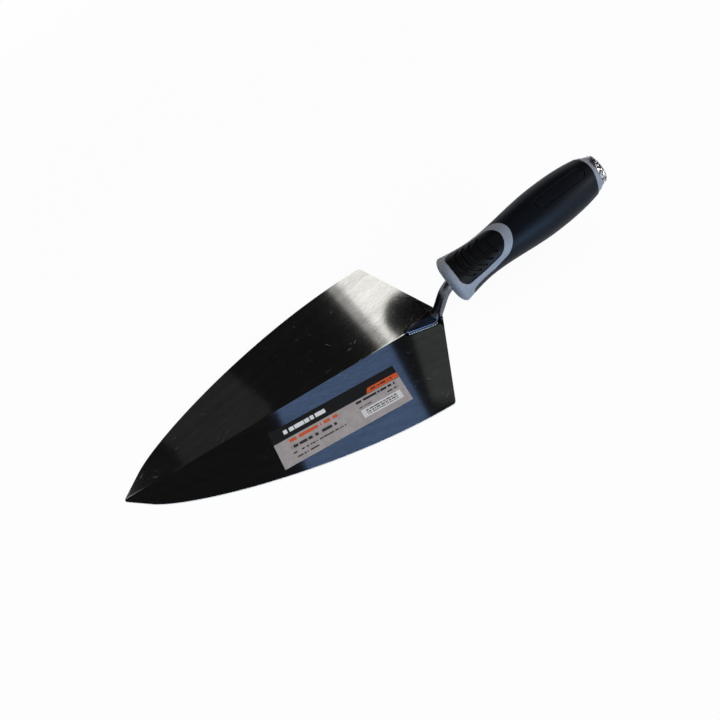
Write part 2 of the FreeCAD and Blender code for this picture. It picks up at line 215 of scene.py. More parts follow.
# ---------------------------------------------------------------- finishes
@dataclass(frozen=True)
class Finish:
    """A surface: what every finish has in common."""

    name: str
    colour: Colour
    roughness: float
    metallic: float = 0.0
    specular: float = 0.5
    tint: Colour = WHITE

    def shade(self, factor: float, more: float = 0.0) -> Colour:
        """The finish's colour made darker or lighter."""
        return tuple(min(1.0, factor * part + more) for part in self.colour)

    def material(self) -> bpy.types.Material:
        """Builds the material.

        Returns:
            The material, with its colour, roughness and bump from nodes.
        """
        made = bpy.data.materials.new(self.name)
        made.use_nodes = True
        made.diffuse_color = (*self.colour, 1.0)
        paint = Paint(made.node_tree)
        plain = {
            "Metallic": self.metallic,
            "Specular IOR Level": self.specular,
            "Specular Tint": (*self.tint, 1.0),
        }
        paint.output(paint.node("BsdfPrincipled", None, plain | self.surface(paint)))
        return made

    def surface(self, paint: Paint) -> dict:
        """Sockets that vary over the surface."""
        raise NotImplementedError


@dataclass(frozen=True)
class GroundSteel(Finish):
    """Blade steel, ground lengthwise along each half, with stray scratches and a painted contact shadow round
    the foot.
    """

    grind_angle: float = 12.0
    hollow: float = 2.0
    streak: Span = (6.0 * MM, 0.55 * MM)
    fine_streak: Span = (2.4 * MM, 0.1925 * MM)
    broad_streak: Span = (60.0 * MM, 6.0 * MM)
    streak_relief: float = 0.0010 * MM
    fine_relief: float = 0.0003 * MM
    scratch: Span = (12.0 * MM, 0.7 * MM)
    scratch_turns: tuple[float, ...] = (8.0, 34.0, -52.0)
    scratched: Colour = (0.85, 0.85, 0.84)
    # Near black for the painted contact shadow round the foot.
    contact_shadow_colour: Colour = (0.015, 0.014, 0.016)
    cut: Colour = (0.8, 0.79, 0.77)
    rim_margin: float = 0.06 * MM
    crease_height: float = 1.402 * MM
    fold: float = 2.75
    sheet: float = 1.4 * MM
    foot: tuple[float, float, float, float] = (57.7 * MM, 6.1 * MM, 37.7 * MM, 1.9 * MM)
    contact_shadow_reach: tuple[float, float] = (1.3 * MM, 2.3 * MM)

    def rim(self, y: Wire, z: Wire) -> Wire:
        """1 on the cut edge of the sheet, 0 on its two faces."""
        depth = self.crease_height + abs(y) * math.tan(math.radians(self.fold)) - z
        return (depth > self.rim_margin) * (depth < self.sheet - self.rim_margin)

    def surface(self, paint: Paint) -> dict:
        """Colour, roughness and normal of the ground steel."""
        x, y, z = paint.coordinates()
        out = abs(y)
        turn = math.radians(self.grind_angle)
        along = x * math.cos(turn) + out * math.sin(turn)
        across = out * math.cos(turn) - x * math.sin(turn)
        half = (y > 0.0) * 7.0

        def streaks(size: Span, detail: float, rough: float = 0.5) -> Wire:
            """Noise drawn out along the grinding, different on the two halves."""
            place = paint.vector(along / size[0], across / size[1], half)
            return paint.noise(place, 1.0, detail, rough)

        main = streaks(self.streak, 3.0, 0.6)
        fine = streaks(self.fine_streak, 2.0)
        broad = streaks(self.broad_streak, 2.0)
        patches = paint.noise(paint.vector(x, y, z), 28.0, 3.0)
        scratch = self.scratches(paint, x, y)
        rim = self.rim(y, z)
        tone = paint.step(main * 0.5 + fine * 0.2 + broad * 0.3, 0.32, 0.68)
        colour = paint.mix(tone, self.shade(0.72), self.shade(1.22))
        colour = paint.mix(paint.step(patches, 0.35, 0.7) * 0.25, colour, self.shade(0.8))
        colour = paint.mix(scratch * 0.7, colour, self.scratched)
        # Painted contact shadow on the blade round the welded foot.
        colour = paint.mix(self.painted_contact_shadow(paint, x, y) * 0.9, colour, self.contact_shadow_colour)
        colour = paint.mix(rim, colour, self.cut)
        rough = self.roughness * (0.75 + 0.5 * main) + 0.12 * scratch + 0.5 * rim
        height = out * math.tan(math.radians(self.hollow))
        height = height + main * self.streak_relief + fine * self.fine_relief
        return {"Base Color": colour, "Roughness": rough, "Normal": paint.bump(height)}

    def painted_contact_shadow(self, paint: Paint, x: Wire, y: Wire) -> Wire:
        """1 beside the welded foot, where the blade gets a painted contact shadow, 0 further out."""
        rear, rear_radius, front, front_radius = self.foot
        share = ((rear - x) / (rear - front)).most(0.0).least(1.0)
        reach = paint.length(x - rear + share * (rear - front), y)
        off = reach - rear_radius + share * (rear_radius - front_radius)
        return paint.step(off, *self.contact_shadow_reach, 1.0, 0.0)

    def scratches(self, paint: Paint, x: Wire, y: Wire) -> Wire:
        """Mask of a few fine scratches in three directions."""
        mask: Wire | float = 0.0
        for count, turn in enumerate(self.scratch_turns):
            angle = math.radians(turn)
            along = x * math.cos(angle) + y * math.sin(angle)
            across = y * math.cos(angle) - x * math.sin(angle)
            seed = 1.0 + 4.0 * count
            place = paint.vector(along / self.scratch[0], across / self.scratch[1], seed)
            mask = mask + paint.step(paint.noise(place, 1.0, 1.0), 0.735, 0.79)
        return mask.least(1.0)


@dataclass(frozen=True)
class ForgedSteel(Finish):
    """Lacquered forging: uneven, with painted shade on its far side and a painted bluish reflection on its
    near side low down, and a painted contact shadow where it meets the blade.
    """

    grain: float = 1.6 * MM
    # Painted side light: dark brownish painted shade for the far side, bluish painted reflection for the near
    # side, multiplied over the lower part.
    far_side_painted_shade: Colour = (0.20, 0.165, 0.155)
    near_side_painted_reflection: Colour = (0.62, 0.78, 1.1)
    painted_side_light_top: float = 9.0 * MM
    crease_height: float = 1.402 * MM
    fold: float = 2.75
    # Painted contact shadow: near-black colour on the forging just above the blade's face.
    painted_foot_shadow: Colour = (0.015, 0.014, 0.014)
    painted_foot_shadow_top: float = 0.55 * MM
    lump_relief: float = 0.02 * MM
    grit_relief: float = 0.0012 * MM

    def surface(self, paint: Paint) -> dict:
        """Colour, roughness and normal of the forging."""
        x, y, z = paint.coordinates()
        place = paint.vector(x, y, z)
        lumps = paint.noise(place, 1.0 / self.grain, 3.0)
        grit = paint.noise(place, 9.0 / self.grain, 2.0)
        colour = paint.mix(paint.step(lumps, 0.3, 0.7), self.shade(0.7), self.colour)
        # Painted side light: the lower part is multiplied by painted shade on the far side and a painted
        # bluish reflection on the near side.
        low = paint.step(z, 0.6 * self.painted_side_light_top, self.painted_side_light_top, 1.0, 0.0)
        far = paint.step(y, -0.2 * MM, 0.3 * MM)
        painted_side_light = paint.mix(far, self.near_side_painted_reflection, self.far_side_painted_shade)
        colour = paint.mix(low, colour, painted_side_light, "MULTIPLY")
        # Painted contact shadow where the forging meets the blade.
        over = z - self.crease_height - abs(y) * math.tan(math.radians(self.fold))
        colour = paint.mix(paint.step(over, 0.5 * self.painted_foot_shadow_top, self.painted_foot_shadow_top, 1.0, 0.0), colour, self.painted_foot_shadow)
        rough = self.roughness * (0.7 + 0.6 * lumps)
        height = lumps * self.lump_relief + grit * self.grit_relief
        return {"Base Color": colour, "Roughness": rough, "Normal": paint.bump(height)}


@dataclass(frozen=True)
class WeldMetal(ForgedSteel):
    """Weld metal laid in ripples: painted highlights on the crests and painted shade in the hollows between
    them.
    """

    pitch: float = 1.9 * MM
    lean: float = 11.9
    # Painted highlight colour for the ripple crests, and painted shade for the hollows between them.
    crest: Colour = (0.95, 0.97, 1.0)
    scale: Colour = (0.03, 0.035, 0.045)

    def surface(self, paint: Paint) -> dict:
        """The forging's surface, with the ripples' colours laid over it."""
        sockets = super().surface(paint)
        x, y, _ = paint.coordinates()
        lean = math.radians(self.lean)
        phase = (x * math.cos(lean) + abs(y) * math.sin(lean)) / self.pitch
        height = abs((phase * math.pi).sine())
        # Painted shade in the hollows between the ripples, then painted highlights on their crests.
        colour = paint.mix(paint.step(height, 0.6, 0.85, 0.92, 0.0), sockets["Base Color"], self.scale)
        sockets["Base Color"] = paint.mix(paint.step(height, 0.86, 0.97), colour, self.crest)
        return sockets


@dataclass(frozen=True)
class Moulded(Finish):
    """Moulded plastic or rubber with a fine grain."""

    grain: float = 0.35 * MM
    relief: float = 0.012 * MM
    mottle: float = 0.12

    def surface(self, paint: Paint) -> dict:
        """Colour, roughness and normal of the moulding."""
        place = paint.node("TexCoord", out="Object")
        grain = paint.noise(place, 1.0 / self.grain, 2.0)
        clouds = paint.noise(place, 90.0, 3.0)
        worn = paint.step(clouds, 0.3, 0.7)
        colour = paint.mix(worn * self.mottle, self.colour, self.shade(1.8, 0.004))
        rough = self.roughness * (0.85 + 0.3 * clouds) + 0.06 * grain
        return {"Base Color": colour, "Roughness": rough, "Normal": paint.bump(grain * self.relief)}


@dataclass(frozen=True)
class Chrome(Finish):
    """Bright plating over a beaten cap: small dents, and tarnish that fades towards the crown."""

    dent: float = 3.2 * MM
    dent_relief: float = 0.12 * MM
    smears: float = 620.0

    def surface(self, paint: Paint) -> dict:
        """Colour, roughness and normal of the plating."""
        place = paint.node("TexCoord", out="Object")
        dents = paint.noise(place, 1.0 / self.dent, 1.0)
        smear = paint.noise(place, self.smears, 2.0)
        rim = paint.node("Attribute", {"attribute_name": RIM}, out="Fac")
        tarnish = paint.step(smear, 0.42, 0.58) * (0.25 + 0.75 * rim)
        colour = paint.mix(tarnish, self.colour, self.shade(0.12))
        rough = self.roughness * (0.6 + 0.8 * smear)
        return {"Base Color": colour, "Roughness": rough, "Normal": paint.bump(dents * self.dent_relief)}


@dataclass(frozen=True)
class PrintedLabel(Finish):
    """Vinyl label with a black band, an orange tab, and bars of plain dashes in place of print."""

    band: Colour = (0.011, 0.011, 0.012)
    orange: Colour = (0.72, 0.11, 0.025)
    ink: Colour = (0.03, 0.027, 0.027)
    pale: Colour = (0.78, 0.76, 0.74)
    white: Colour = (0.86, 0.86, 0.86)
    proportion: float = 3.2
    relief: float = 0.01 * MM

    def surface(self, paint: Paint) -> dict:
        """Colour and roughness of the print, read from the label's own map."""
        u, v, _ = paint.coordinates("UV")
        stone = paint.noise(paint.vector(u * self.proportion, v), 6.0, 4.0, 0.6)
        colour = paint.mix(paint.step(stone, 0.35, 0.65), self.shade(0.86), self.colour)
        colour = paint.mix(v < 0.34, colour, self.band)
        slant = (u - 0.74) * self.proportion > (0.33 - v) * 0.55
        colour = paint.mix(self.box(u, v, (0.74, 1.0), (0.20, 0.33)) * slant, colour, self.orange)
        for across, down, dash, print_colour in (
            ((0.10, 0.43), (0.12, 0.225), 0.021, self.white),
            ((0.10, 0.49), (0.39, 0.47), 0.026, self.orange),
            ((0.105, 0.46), (0.565, 0.635), 0.019, self.ink),
            ((0.10, 0.51), (0.73, 0.765), 0.012, self.ink),
            ((0.11, 0.30), (0.85, 0.885), 0.012, self.ink),
            ((0.64, 0.95), (0.385, 0.445), 0.020, self.ink),
            ((0.87, 0.96), (0.515, 0.55), 0.012, self.ink),
            ((0.645, 0.745), (0.55, 0.575), 0.010, self.ink),
            ((0.78, 0.95), (0.245, 0.285), 0.012, self.ink),
            ((0.645, 0.955), (0.63, 0.84), 0.0, self.pale),
            ((0.68, 0.92), (0.67, 0.70), 0.012, self.ink),
            ((0.68, 0.92), (0.725, 0.755), 0.012, self.ink),
            ((0.68, 0.92), (0.78, 0.80), 0.012, self.ink),
        ):
            bar = self.box(u, v, across, down)
            if dash:
                bar = bar * (paint.noise(paint.vector(u / dash, down[0] * 91.0), 1.0, 0.0) > 0.42)
            colour = paint.mix(bar, colour, print_colour)
        rough = self.roughness + 0.1 * stone
        return {"Base Color": colour, "Roughness": rough, "Normal": paint.bump(stone * self.relief)}

    @staticmethod
    def box(u: Wire, v: Wire, across: Span, down: Span) -> Wire:
        """1 inside a rectangle of the label's map."""
        return (u > across[0]) * (u < across[1]) * (v > down[0]) * (v < down[1])


# ---------------------------------------------------------------- mesh helpers
def sheet(bm: bmesh.types.BMesh, columns: int, rows: int, place: Place) -> None:
    """Grid whose vertices are set by a function of their share across and along.

    Args:
        bm: mesh that gets the grid.
        columns: faces across.
        rows: faces along.
        place: from (across, along), each 0 to 1, to a point.
    """
    for vert in bmesh.ops.create_grid(bm, x_segments=columns, y_segments=rows, size=0.5)["verts"]:
        vert.co = place(vert.co.x + 0.5, vert.co.y + 0.5)


def smooth(share: float) -> float:
    """0 to 1 with level ends, for a share that is first kept within 0 and 1."""
    share = min(max(share, 0.0), 1.0)
    return share * share * (3.0 - 2.0 * share)


def evenly(ring: Sequence[Vector], count: int) -> list[Vector]:
    """Points at equal steps round a closed ring.

    Args:
        ring: its corners in order, the first not repeated.
        count: points wanted.

    Returns:
        The points, starting at the ring's first.
    """
    closed = [*ring, ring[0]]
    lengths = [(b - a).length for a, b in zip(closed, closed[1:])]
    total = sum(lengths)
    made, index, passed = [], 0, 0.0
    for step in range(count):
        goal = total * step / count
        while passed + lengths[index] < goal:
            passed += lengths[index]
            index += 1
        made.append(closed[index].lerp(closed[index + 1], (goal - passed) / lengths[index]))
    return made


def merged_copy(node: str) -> bmesh.types.BMesh:
    """A CAD node's mesh as a bmesh, its doubles merged."""
    bm = bmesh.new()
    bm.from_mesh(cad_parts[node].data)
    bmesh.ops.remove_doubles(bm, verts=bm.verts[:], dist=0.002 * MM)
    return bm


def remeshed(bm: bmesh.types.BMesh, voxel: float, passes: int) -> bmesh.types.BMesh:
    """Even mesh of the same solid, its edges softened.

    Args:
        bm: closed solid, which is freed.
        voxel: size of the new faces.
        passes: times that the surface is smoothed.

    Returns:
        The new mesh.
    """
    mesh = bpy.data.meshes.new("blank")
    bm.to_mesh(mesh)
    bm.free()
    blank = bpy.data.objects.new("blank", mesh)
    bpy.context.scene.collection.objects.link(blank)
    modifier = blank.modifiers.new("even", "REMESH")
    modifier.mode = "VOXEL"
    modifier.voxel_size = voxel
    even = bpy.data.meshes.new_from_object(blank.evaluated_get(bpy.context.evaluated_depsgraph_get()))
    made = bmesh.new()
    made.from_mesh(even)
    bpy.data.objects.remove(blank)
    bpy.data.meshes.remove(mesh)
    bpy.data.meshes.remove(even)
    for _ in range(passes):
        bmesh.ops.smooth_vert(made, verts=made.verts[:], factor=0.5, use_axis_x=True, use_axis_y=True,
                              use_axis_z=True)
    return made


def round_edges(bm: bmesh.types.BMesh, angle: float, radius: float, segments: int) -> None:
    """Rounds the edges whose two faces turn by more than an angle.

    Args:
        bm: mesh that is changed.
        angle: least turn, in degrees.
        radius: width of the rounding.
        segments: faces across it.
    """
    limit = math.radians(angle)
    sharp = [edge for edge in bm.edges if len(edge.link_faces) == 2 and edge.calc_face_angle() > limit]
    bmesh.ops.bevel(bm, geom=sharp, offset=radius, offset_type="OFFSET", segments=segments, profile=0.5,
                    affect="EDGES", material=-1, clamp_overlap=True)


def second_face(bm: bmesh.types.BMesh) -> list[bmesh.types.BMVert]:
    """Extrudes a whole sheet in its own place and returns the new vertices."""
    made = bmesh.ops.extrude_face_region(bm, geom=bm.faces[:], use_keep_orig=True)["geom"]
    return [part for part in made if isinstance(part, bmesh.types.BMVert)]


def piece(name: str, bm: bmesh.types.BMesh, finish: Finish, slot: Slot, replaced: Sequence[str],
          place: Matrix | None = None, crease: float = 35.0) -> bpy.types.Object:
    """Makes a finished piece of a bmesh and ties it to the frame.

    Args:
        name: the piece's name.
        bm: its mesh, which is freed.
        finish: its surface.
        slot: not used.
        replaced: CAD nodes that it stands for.
        place: where its mesh goes in the row frame.
        crease: edges that turn by more than this many degrees stay sharp.

    Returns:
        The new object.
    """
    if place is not None:
        bmesh.ops.transform(bm, matrix=place, verts=bm.verts[:])
    bmesh.ops.recalc_face_normals(bm, faces=bm.faces[:])
    mesh = bpy.data.meshes.new(name)
    bm.to_mesh(mesh)
    bm.free()
    mesh.shade_smooth()
    mesh.set_sharp_from_angle(angle=math.radians(crease))
    mesh.materials.append(finish.material())
    made = bpy.data.objects.new(name, mesh)
    bpy.context.scene.collection.objects.link(made)
    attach(made, BODY)
    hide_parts(*replaced)
    log.info("%s: %d faces, stands for %s", name, len(mesh.polygons), ", ".join(replaced))
    return made


def keep_flats_flat(target: bpy.types.Object) -> None:
    """Lets large flat faces set the normals, so that only the rounded edges between them shade."""
    modifier = target.modifiers.new("flats", "WEIGHTED_NORMAL")
    modifier.mode = "FACE_AREA"
    modifier.weight = 100
    modifier.keep_sharp = True


def dress(node: str, finish: Finish) -> None:
    """Gives a CAD node a finish."""
    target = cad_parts[node]
    target.data.materials.clear()
    target.data.materials.append(finish.material())
    log.info("%s: kept from the frame", node)


# ---------------------------------------------------------------- blade
@dataclass
class Blade:
    """The folded sheet. Its heel, on the crease, is the point from which the rest is measured."""

    length: float = 275.0 * MM
    width: float = 140.0 * MM
    thickness: float = 1.4 * MM
    fold: float = 2.75
    heel_depth: float = 33.4 * MM
    point_half_angle: float = 37.5
    point_straight: float = 22.4 * MM
    cheek_pull: float = 31.6 * MM
    side_pull: float = 93.0 * MM
    side_angle: float = 0.8
    point_radius: float = 2.0 * MM
    point_ease: float = 1.08
    shoulder_radius: float = 3.0 * MM
    shoulder_ease: float = 0.68
    heel_radius: float = 2.0 * MM
    side_points: int = 48
    crease_half: float = 1.2 * MM
    edge_round: float = 0.22 * MM
    finish: Finish = GroundSteel("ground_steel", (0.42, 0.42, 0.415), 0.05, 1.0)
    heel: Vector = field(init=False)

    def __post_init__(self) -> None:
        """Finds the heel, on the crease of the upper face, from the frame."""
        low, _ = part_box("blade")
        setback = self.point_radius / math.sin(math.radians(self.point_half_angle)) - self.point_radius
        top = self.thickness / math.cos(math.radians(self.fold))
        self.heel = Vector((low.x + self.length - setback, 0.0, low.z + top))

    def rise(self, y: float) -> float:
        """Height of the upper face above its crease: two flats and a soft bend between them."""
        slope = math.tan(math.radians(self.fold))
        out = abs(y)
        if out >= self.crease_half:
            return slope * out
        return slope * (out * out / self.crease_half + self.crease_half) / 2

    def half_outline(self, side: int) -> list[Vector]:
        """Outline of one half from the point to the shoulder, measured from the heel."""
        angle = math.radians(self.point_half_angle)
        spread = math.radians(self.side_angle)
        ahead = Vector((math.cos(angle), math.sin(angle), 0.0))
        astern = Vector((math.cos(spread), math.sin(spread), 0.0))
        point = Vector((-self.length, 0.0, 0.0))
        cheek = point + ahead * self.point_straight
        shoulder = Vector((-self.heel_depth, self.width / 2, 0.0))
        side_curve = interpolate_bezier(cheek, cheek + ahead * self.cheek_pull,
                                        shoulder - astern * self.side_pull, shoulder, self.side_points)
        return [Vector((p.x, side * p.y, 0.0)) for p in side_curve]

    def build(self) -> None:
        """Cuts the outline, folds it and rounds its edges."""
        bm = bmesh.new()
        point = bm.verts.new((-self.length, 0.0, 0.0))
        right = [bm.verts.new(p) for p in self.half_outline(-1)]
        heel = bm.verts.new((0.0, 0.0, 0.0))
        left = [bm.verts.new(p) for p in self.half_outline(1)]
        bm.faces.new([point, *right, heel, *reversed(left)])
        corners = (
            (point, self.point_ease * self.point_radius / math.tan(math.radians(self.point_half_angle))),
            (heel, self.heel_radius * self.heel_depth / (self.width / 2)),
            (right[-1], self.shoulder_radius * self.shoulder_ease),
            (left[-1], self.shoulder_radius * self.shoulder_ease),
        )
        for corner, offset in corners:
            bmesh.ops.bevel(bm, geom=[corner], offset=offset, offset_type="OFFSET", segments=8, profile=0.5,
                            affect="VERTICES", material=-1)
        for y in (-1.0, -0.5, 0.0, 0.5, 1.0):
            bmesh.ops.bisect_plane(bm, geom=bm.verts[:] + bm.edges[:] + bm.faces[:],
                                   plane_co=(0.0, y * self.crease_half, 0.0), plane_no=(0.0, 1.0, 0.0))
        for vert in bm.verts:
            vert.co.z = self.rise(vert.co.y)
        drop = self.thickness / math.cos(math.radians(self.fold))
        bmesh.ops.translate(bm, vec=(0.0, 0.0, -drop), verts=second_face(bm))
        bmesh.ops.recalc_face_normals(bm, faces=bm.faces[:])
        round_edges(bm, 60.0, self.edge_round, 3)
        keep_flats_flat(piece("blade_sheet", bm, self.finish, Slot.BLADE, ["blade"],
                              Matrix.Translation(self.heel), 25.0))


@dataclass
class Label:
    """The printed label on the near half of the blade."""

    blade: Blade
    length: float = 105.0 * MM
    width: float = 32.4 * MM
    thickness: float = 0.12 * MM
    centre: tuple[float, float] = (-108.8 * MM, -31.6 * MM)
    turn: float = -2.3
    rest_level: float = 0.084 * MM
    ripple: float = 0.03 * MM
    finish: Finish = PrintedLabel("printed_vinyl", (0.47, 0.42, 0.405), 0.42, specular=0.4)

    def place(self) -> Matrix:
        """Where the label lies, on the near half."""
        x, y = self.centre
        height = -y * math.tan(math.radians(self.blade.fold))
        spot = self.blade.heel + Vector((x, y, height))
        lean = Matrix.Rotation(math.radians(-self.blade.fold), 4, "X")
        return Matrix.Translation(spot) @ lean @ Matrix.Rotation(math.radians(self.turn), 4, "Z")

    def build(self) -> None:
        """Lays the label's upper face over its lower one and maps the print on it."""
        bm = bmesh.new()

        def lie(u: float, v: float) -> Vector:
            """Point of the slightly rippled upper face."""
            swell = noise.noise(Vector((u * 5.0, v * 2.0, 0.0))) * self.ripple
            return Vector(((u - 0.5) * self.length, (0.5 - v) * self.width, self.rest_level + swell))

        sheet(bm, 60, 20, lie)
        for vert in second_face(bm):
            vert.co.z = 0.0
        layer = bm.loops.layers.uv.new("print")
        for face in bm.faces:
            for loop in face.loops:
                x, y = loop.vert.co.x, loop.vert.co.y
                loop[layer].uv = (x / self.length + 0.5, 0.5 - y / self.width)
        piece("label_print", bm, self.finish, Slot.LABEL, ["blade_label"], self.place(), 40.0)


# ---------------------------------------------------------------- shank
@dataclass
class Shank:
    """Forged foot, neck and tang with the two weld beads along the foot."""

    voxel: float = 0.3 * MM
    softening: int = 5
    bead_voxel: float = 0.13 * MM
    ripple_height: float = 0.5 * MM
    forged: Finish = ForgedSteel("forged_steel", (0.225, 0.23, 0.25), 0.22, 1.0)
    crest_share: float = 0.8
    weld: WeldMetal = WeldMetal("weld_metal", (0.30, 0.31, 0.33), 0.22, 1.0, grain=0.7 * MM)

    def build(self) -> None:
        """Builds the forging and its beads."""
        bm = remeshed(merged_copy("shank"), self.voxel, self.softening)
        piece("shank_forging", bm, self.forged, Slot.FORGED, ["shank"], crease=50.0)
        for node in ("weld_left", "weld_right"):
            self.bead(node)

    def bead(self, node: str) -> None:
        """One weld bead, laid in overlapping ripples.

        Args:
            node: CAD node of the bead.
        """
        bm = remeshed(merged_copy(node), self.bead_voxel, 1)
        lean = math.radians(self.weld.lean)
        bm.normal_update()
        for vert in bm.verts:
            reach = vert.co.x * math.cos(lean) + abs(vert.co.y) * math.sin(lean)
            crest = abs(math.sin(math.pi * reach / self.weld.pitch)) - self.crest_share
            lift = smooth(vert.normal.z + 0.6)
            vert.co += vert.normal * crest * self.ripple_height * lift
        piece(node + "_bead", bm, self.weld, Slot.WELD, [node], crease=60.0)


# ---------------------------------------------------------------- handle
@dataclass
class Handle:
    """The two-material handle: its form, its frame and its pieces."""

    heel: Vector
    neck_setback: float = 5.1 * MM
    neck_rise: float = 33.9 * MM
    neck_lean: float = 17.7
    pitch: float = 15.1
    roll: float = 11.0
    nose_start: float = 1.6 * MM
    nose_length: float = 5.1 * MM
    flange_radius: float = 18.6 * MM
    flange_slope: float = 11.3
    waist: tuple[float, float] = (34.3 * MM, 14.95 * MM)
    belly: tuple[float, float] = (85.3 * MM, 18.45 * MM)
    grip_end: tuple[float, float] = (126.0 * MM, 14.1 * MM)
    grip_end_slope: float = 15.1
    grip_front_gap: float = 6.3 * MM
    grip_wall: float = 2.5 * MM
    grip_round: float = 0.55 * MM
    skin_inset: float = 0.01 * MM
    skin_split: float = 66.0 * MM
    skin_under: float = 0.25
    skin_ease: float = 1.4
    scallop_depth: float = 3.6 * MM
    saddle_split: float = 4.6 * MM
    saddle_centre: float = 44.4 * MM
    saddle_radius: float = 13.2 * MM
    saddle_front_half: float = 16.1 * MM
    cheek_drop: float = 2.8 * MM
    cheek_run: float = 6.0 * MM
    cheek_curve: float = 2.4
    side_share: float = 0.52
    plaque_middle: float = 100.8 * MM
    plaque_straight: float = 31.2 * MM
    plaque_half: float = 4.0 * MM
    plaque_line: float = 0.8 * MM
    plaque_depth: float = 0.6 * MM
    plaque_room: float = 1.2 * MM
    plaque_skin: float = 0.2 * MM
    line_share: float = 0.65
    cap_voxel: float = 0.24 * MM
    beat_pitch: float = 1.7 * MM
    beat_depth: float = 0.9 * MM
    crown_radius: float = 6.5 * MM
    crown_fade: float = 4.0 * MM
    crown_share: float = 0.25
    grey: Finish = Moulded("grey_plastic", (0.235, 0.25, 0.275), 0.42, grain=0.25 * MM, relief=0.004 * MM)
    rubber: Finish = Moulded("black_rubber", (0.003, 0.003, 0.004), 0.38, specular=0.25,
                             tint=(0.62, 0.78, 1.0))
    soft: Finish = Moulded("pad_rubber", (0.003, 0.003, 0.003), 0.34, specular=0.20, tint=(0.85, 0.9, 1.0),
                           relief=0.004 * MM)
    chrome: Finish = Chrome("cap_chrome", (0.90, 0.91, 0.93), 0.15, 1.0)
    zinc: Finish = ForgedSteel("zinc_steel", (0.55, 0.56, 0.56), 0.32, 1.0, grain=0.8 * MM)

    @property
    def grip_front(self) -> float:
        """Station of the sleeve's front end."""
        return self.nose_start + self.nose_length + self.grip_front_gap

    def place(self) -> Matrix:
        """The handle's frame in the row frame."""
        lean = math.tan(math.radians(self.neck_lean))
        corner = self.heel + Vector((self.neck_rise * lean - self.neck_setback, 0.0, self.neck_rise))
        pitch = Matrix.Rotation(math.radians(-self.pitch), 4, "Y")
        return Matrix.Translation(corner) @ pitch @ Matrix.Rotation(math.radians(self.roll), 4, "X")

    def radius(self, x: float) -> float:
        """Radius of the handle's outer form at a station behind the flange."""
        flange = self.nose_start + self.nose_length
        knots = ((flange, self.flange_radius, -math.tan(math.radians(self.flange_slope))),
                 (*self.waist, 0.0), (*self.belly, 0.0),
                 (*self.grip_end, -math.tan(math.radians(self.grip_end_slope))))
        for (x0, r0, s0), (x1, r1, s1) in zip(knots, knots[1:]):
            if x <= x1 or x1 == self.grip_end[0]:
                third = (x1 - x0) / 3
                t = (x - x0) / (x1 - x0)
                poles = (r0, r0 + s0 * third, r1 - s1 * third, r1)
                weights = ((1 - t) ** 3, 3 * t * (1 - t) ** 2, 3 * t * t * (1 - t), t ** 3)
                return sum(p * w for p, w in zip(poles, weights))
        return self.grip_end[1]

    def on_form(self, x: float, turn: float, inset: float = 0.0) -> Vector:
        """Point on the outer form, turned about the handle's axis from its top."""
        radius = self.radius(x) - inset
        return Vector((x, radius * math.sin(turn), radius * math.cos(turn)))

    def build(self) -> None:
        """Builds and dresses every piece of the handle."""
        self.sleeve()
        ThumbPad(self).build()
        dress("handle_core", self.grey)
        self.cap()
        dress("tang_washer", self.zinc)
        dress("tang_nut", self.zinc)

    def cap(self) -> None:
        """The striking cap, its plate beaten round the side and less so on the crown."""
        bm = remeshed(merged_copy("butt_cap"), self.cap_voxel, 2)
        bm.normal_update()
        level = self.place().inverted()
        layer = bm.verts.layers.float.new(RIM)
        for vert in bm.verts:
            beaten = 0.5 + 0.5 * noise.noise(vert.co / self.beat_pitch)
            off_axis = (level @ vert.co).yz.length
            rim = smooth((off_axis - self.crown_radius) / self.crown_fade)
            vert[layer] = rim
            depth = self.beat_depth * (self.crown_share + (1.0 - self.crown_share) * rim)
            vert.co -= vert.normal * depth * beaten
        piece("butt_cap_plate", bm, self.chrome, Slot.CHROME, ["butt_cap"], crease=60.0)

    def opening_edge(self, share: float) -> tuple[float, float]:
        """Edge of the sleeve's opening, from its left front corner round the arch to its right one.

        Args:
            share: 0 at the left corner, 1 at the right one.

        Returns:
            Station along the handle, and angle from its top.
        """
        side = 1.0 if share < 0.5 else -1.0
        travel = min(share, 1.0 - share) * 2.0
        front = self.grip_front
        run = self.saddle_centre - front
        heading = (math.asin(self.saddle_radius / math.hypot(run, self.saddle_front_half))
                   - math.atan2(self.saddle_front_half, run))
        touch = self.saddle_centre - self.saddle_radius * math.sin(heading)
        if travel < self.side_share:
            x = front + (touch - front) * travel / self.side_share
            radius = self.radius(x)
            ahead = min((x - front) / self.cheek_run, 1.0)
            height = self.saddle_split - self.cheek_drop * (1.0 - ahead) ** self.cheek_curve
            if ahead >= 1.0:
                half = self.saddle_front_half + (x - front) * math.tan(heading)
                height = max(height, math.sqrt(max(radius ** 2 - half ** 2, 0.0)))
            return x, side * math.acos(height / radius)
        swing = (math.pi / 2 + heading) * (1.0 - (travel - self.side_share) / (1.0 - self.side_share))
        x = self.saddle_centre + self.saddle_radius * math.cos(swing)
        y = self.saddle_radius * math.sin(swing)
        return x, side * math.asin(min(1.0, y / self.radius(x)))

    def sleeve(self) -> None:
        """The soft sleeve: a skin round the opening, a skin behind it, and a wall under both."""
        bm = bmesh.new()
        front, split, run = self.grip_front, self.skin_split, self.skin_under
        end_x, end_radius = self.grip_end
        depth = self.scallop_depth
        scallop = (end_radius ** 2 + depth ** 2) / (2 * depth)

        def outer_edge(share: float) -> tuple[float, float]:
            """Station and angle on the far side of the skin that goes round the opening."""
            if share < run:
                return front + (split - front) * share / run, math.pi
            if share > 1.0 - run:
                return front + (split - front) * (1.0 - share) / run, -math.pi
            return split, math.pi * (1.0 - 2.0 * (share - run) / (1.0 - 2.0 * run))

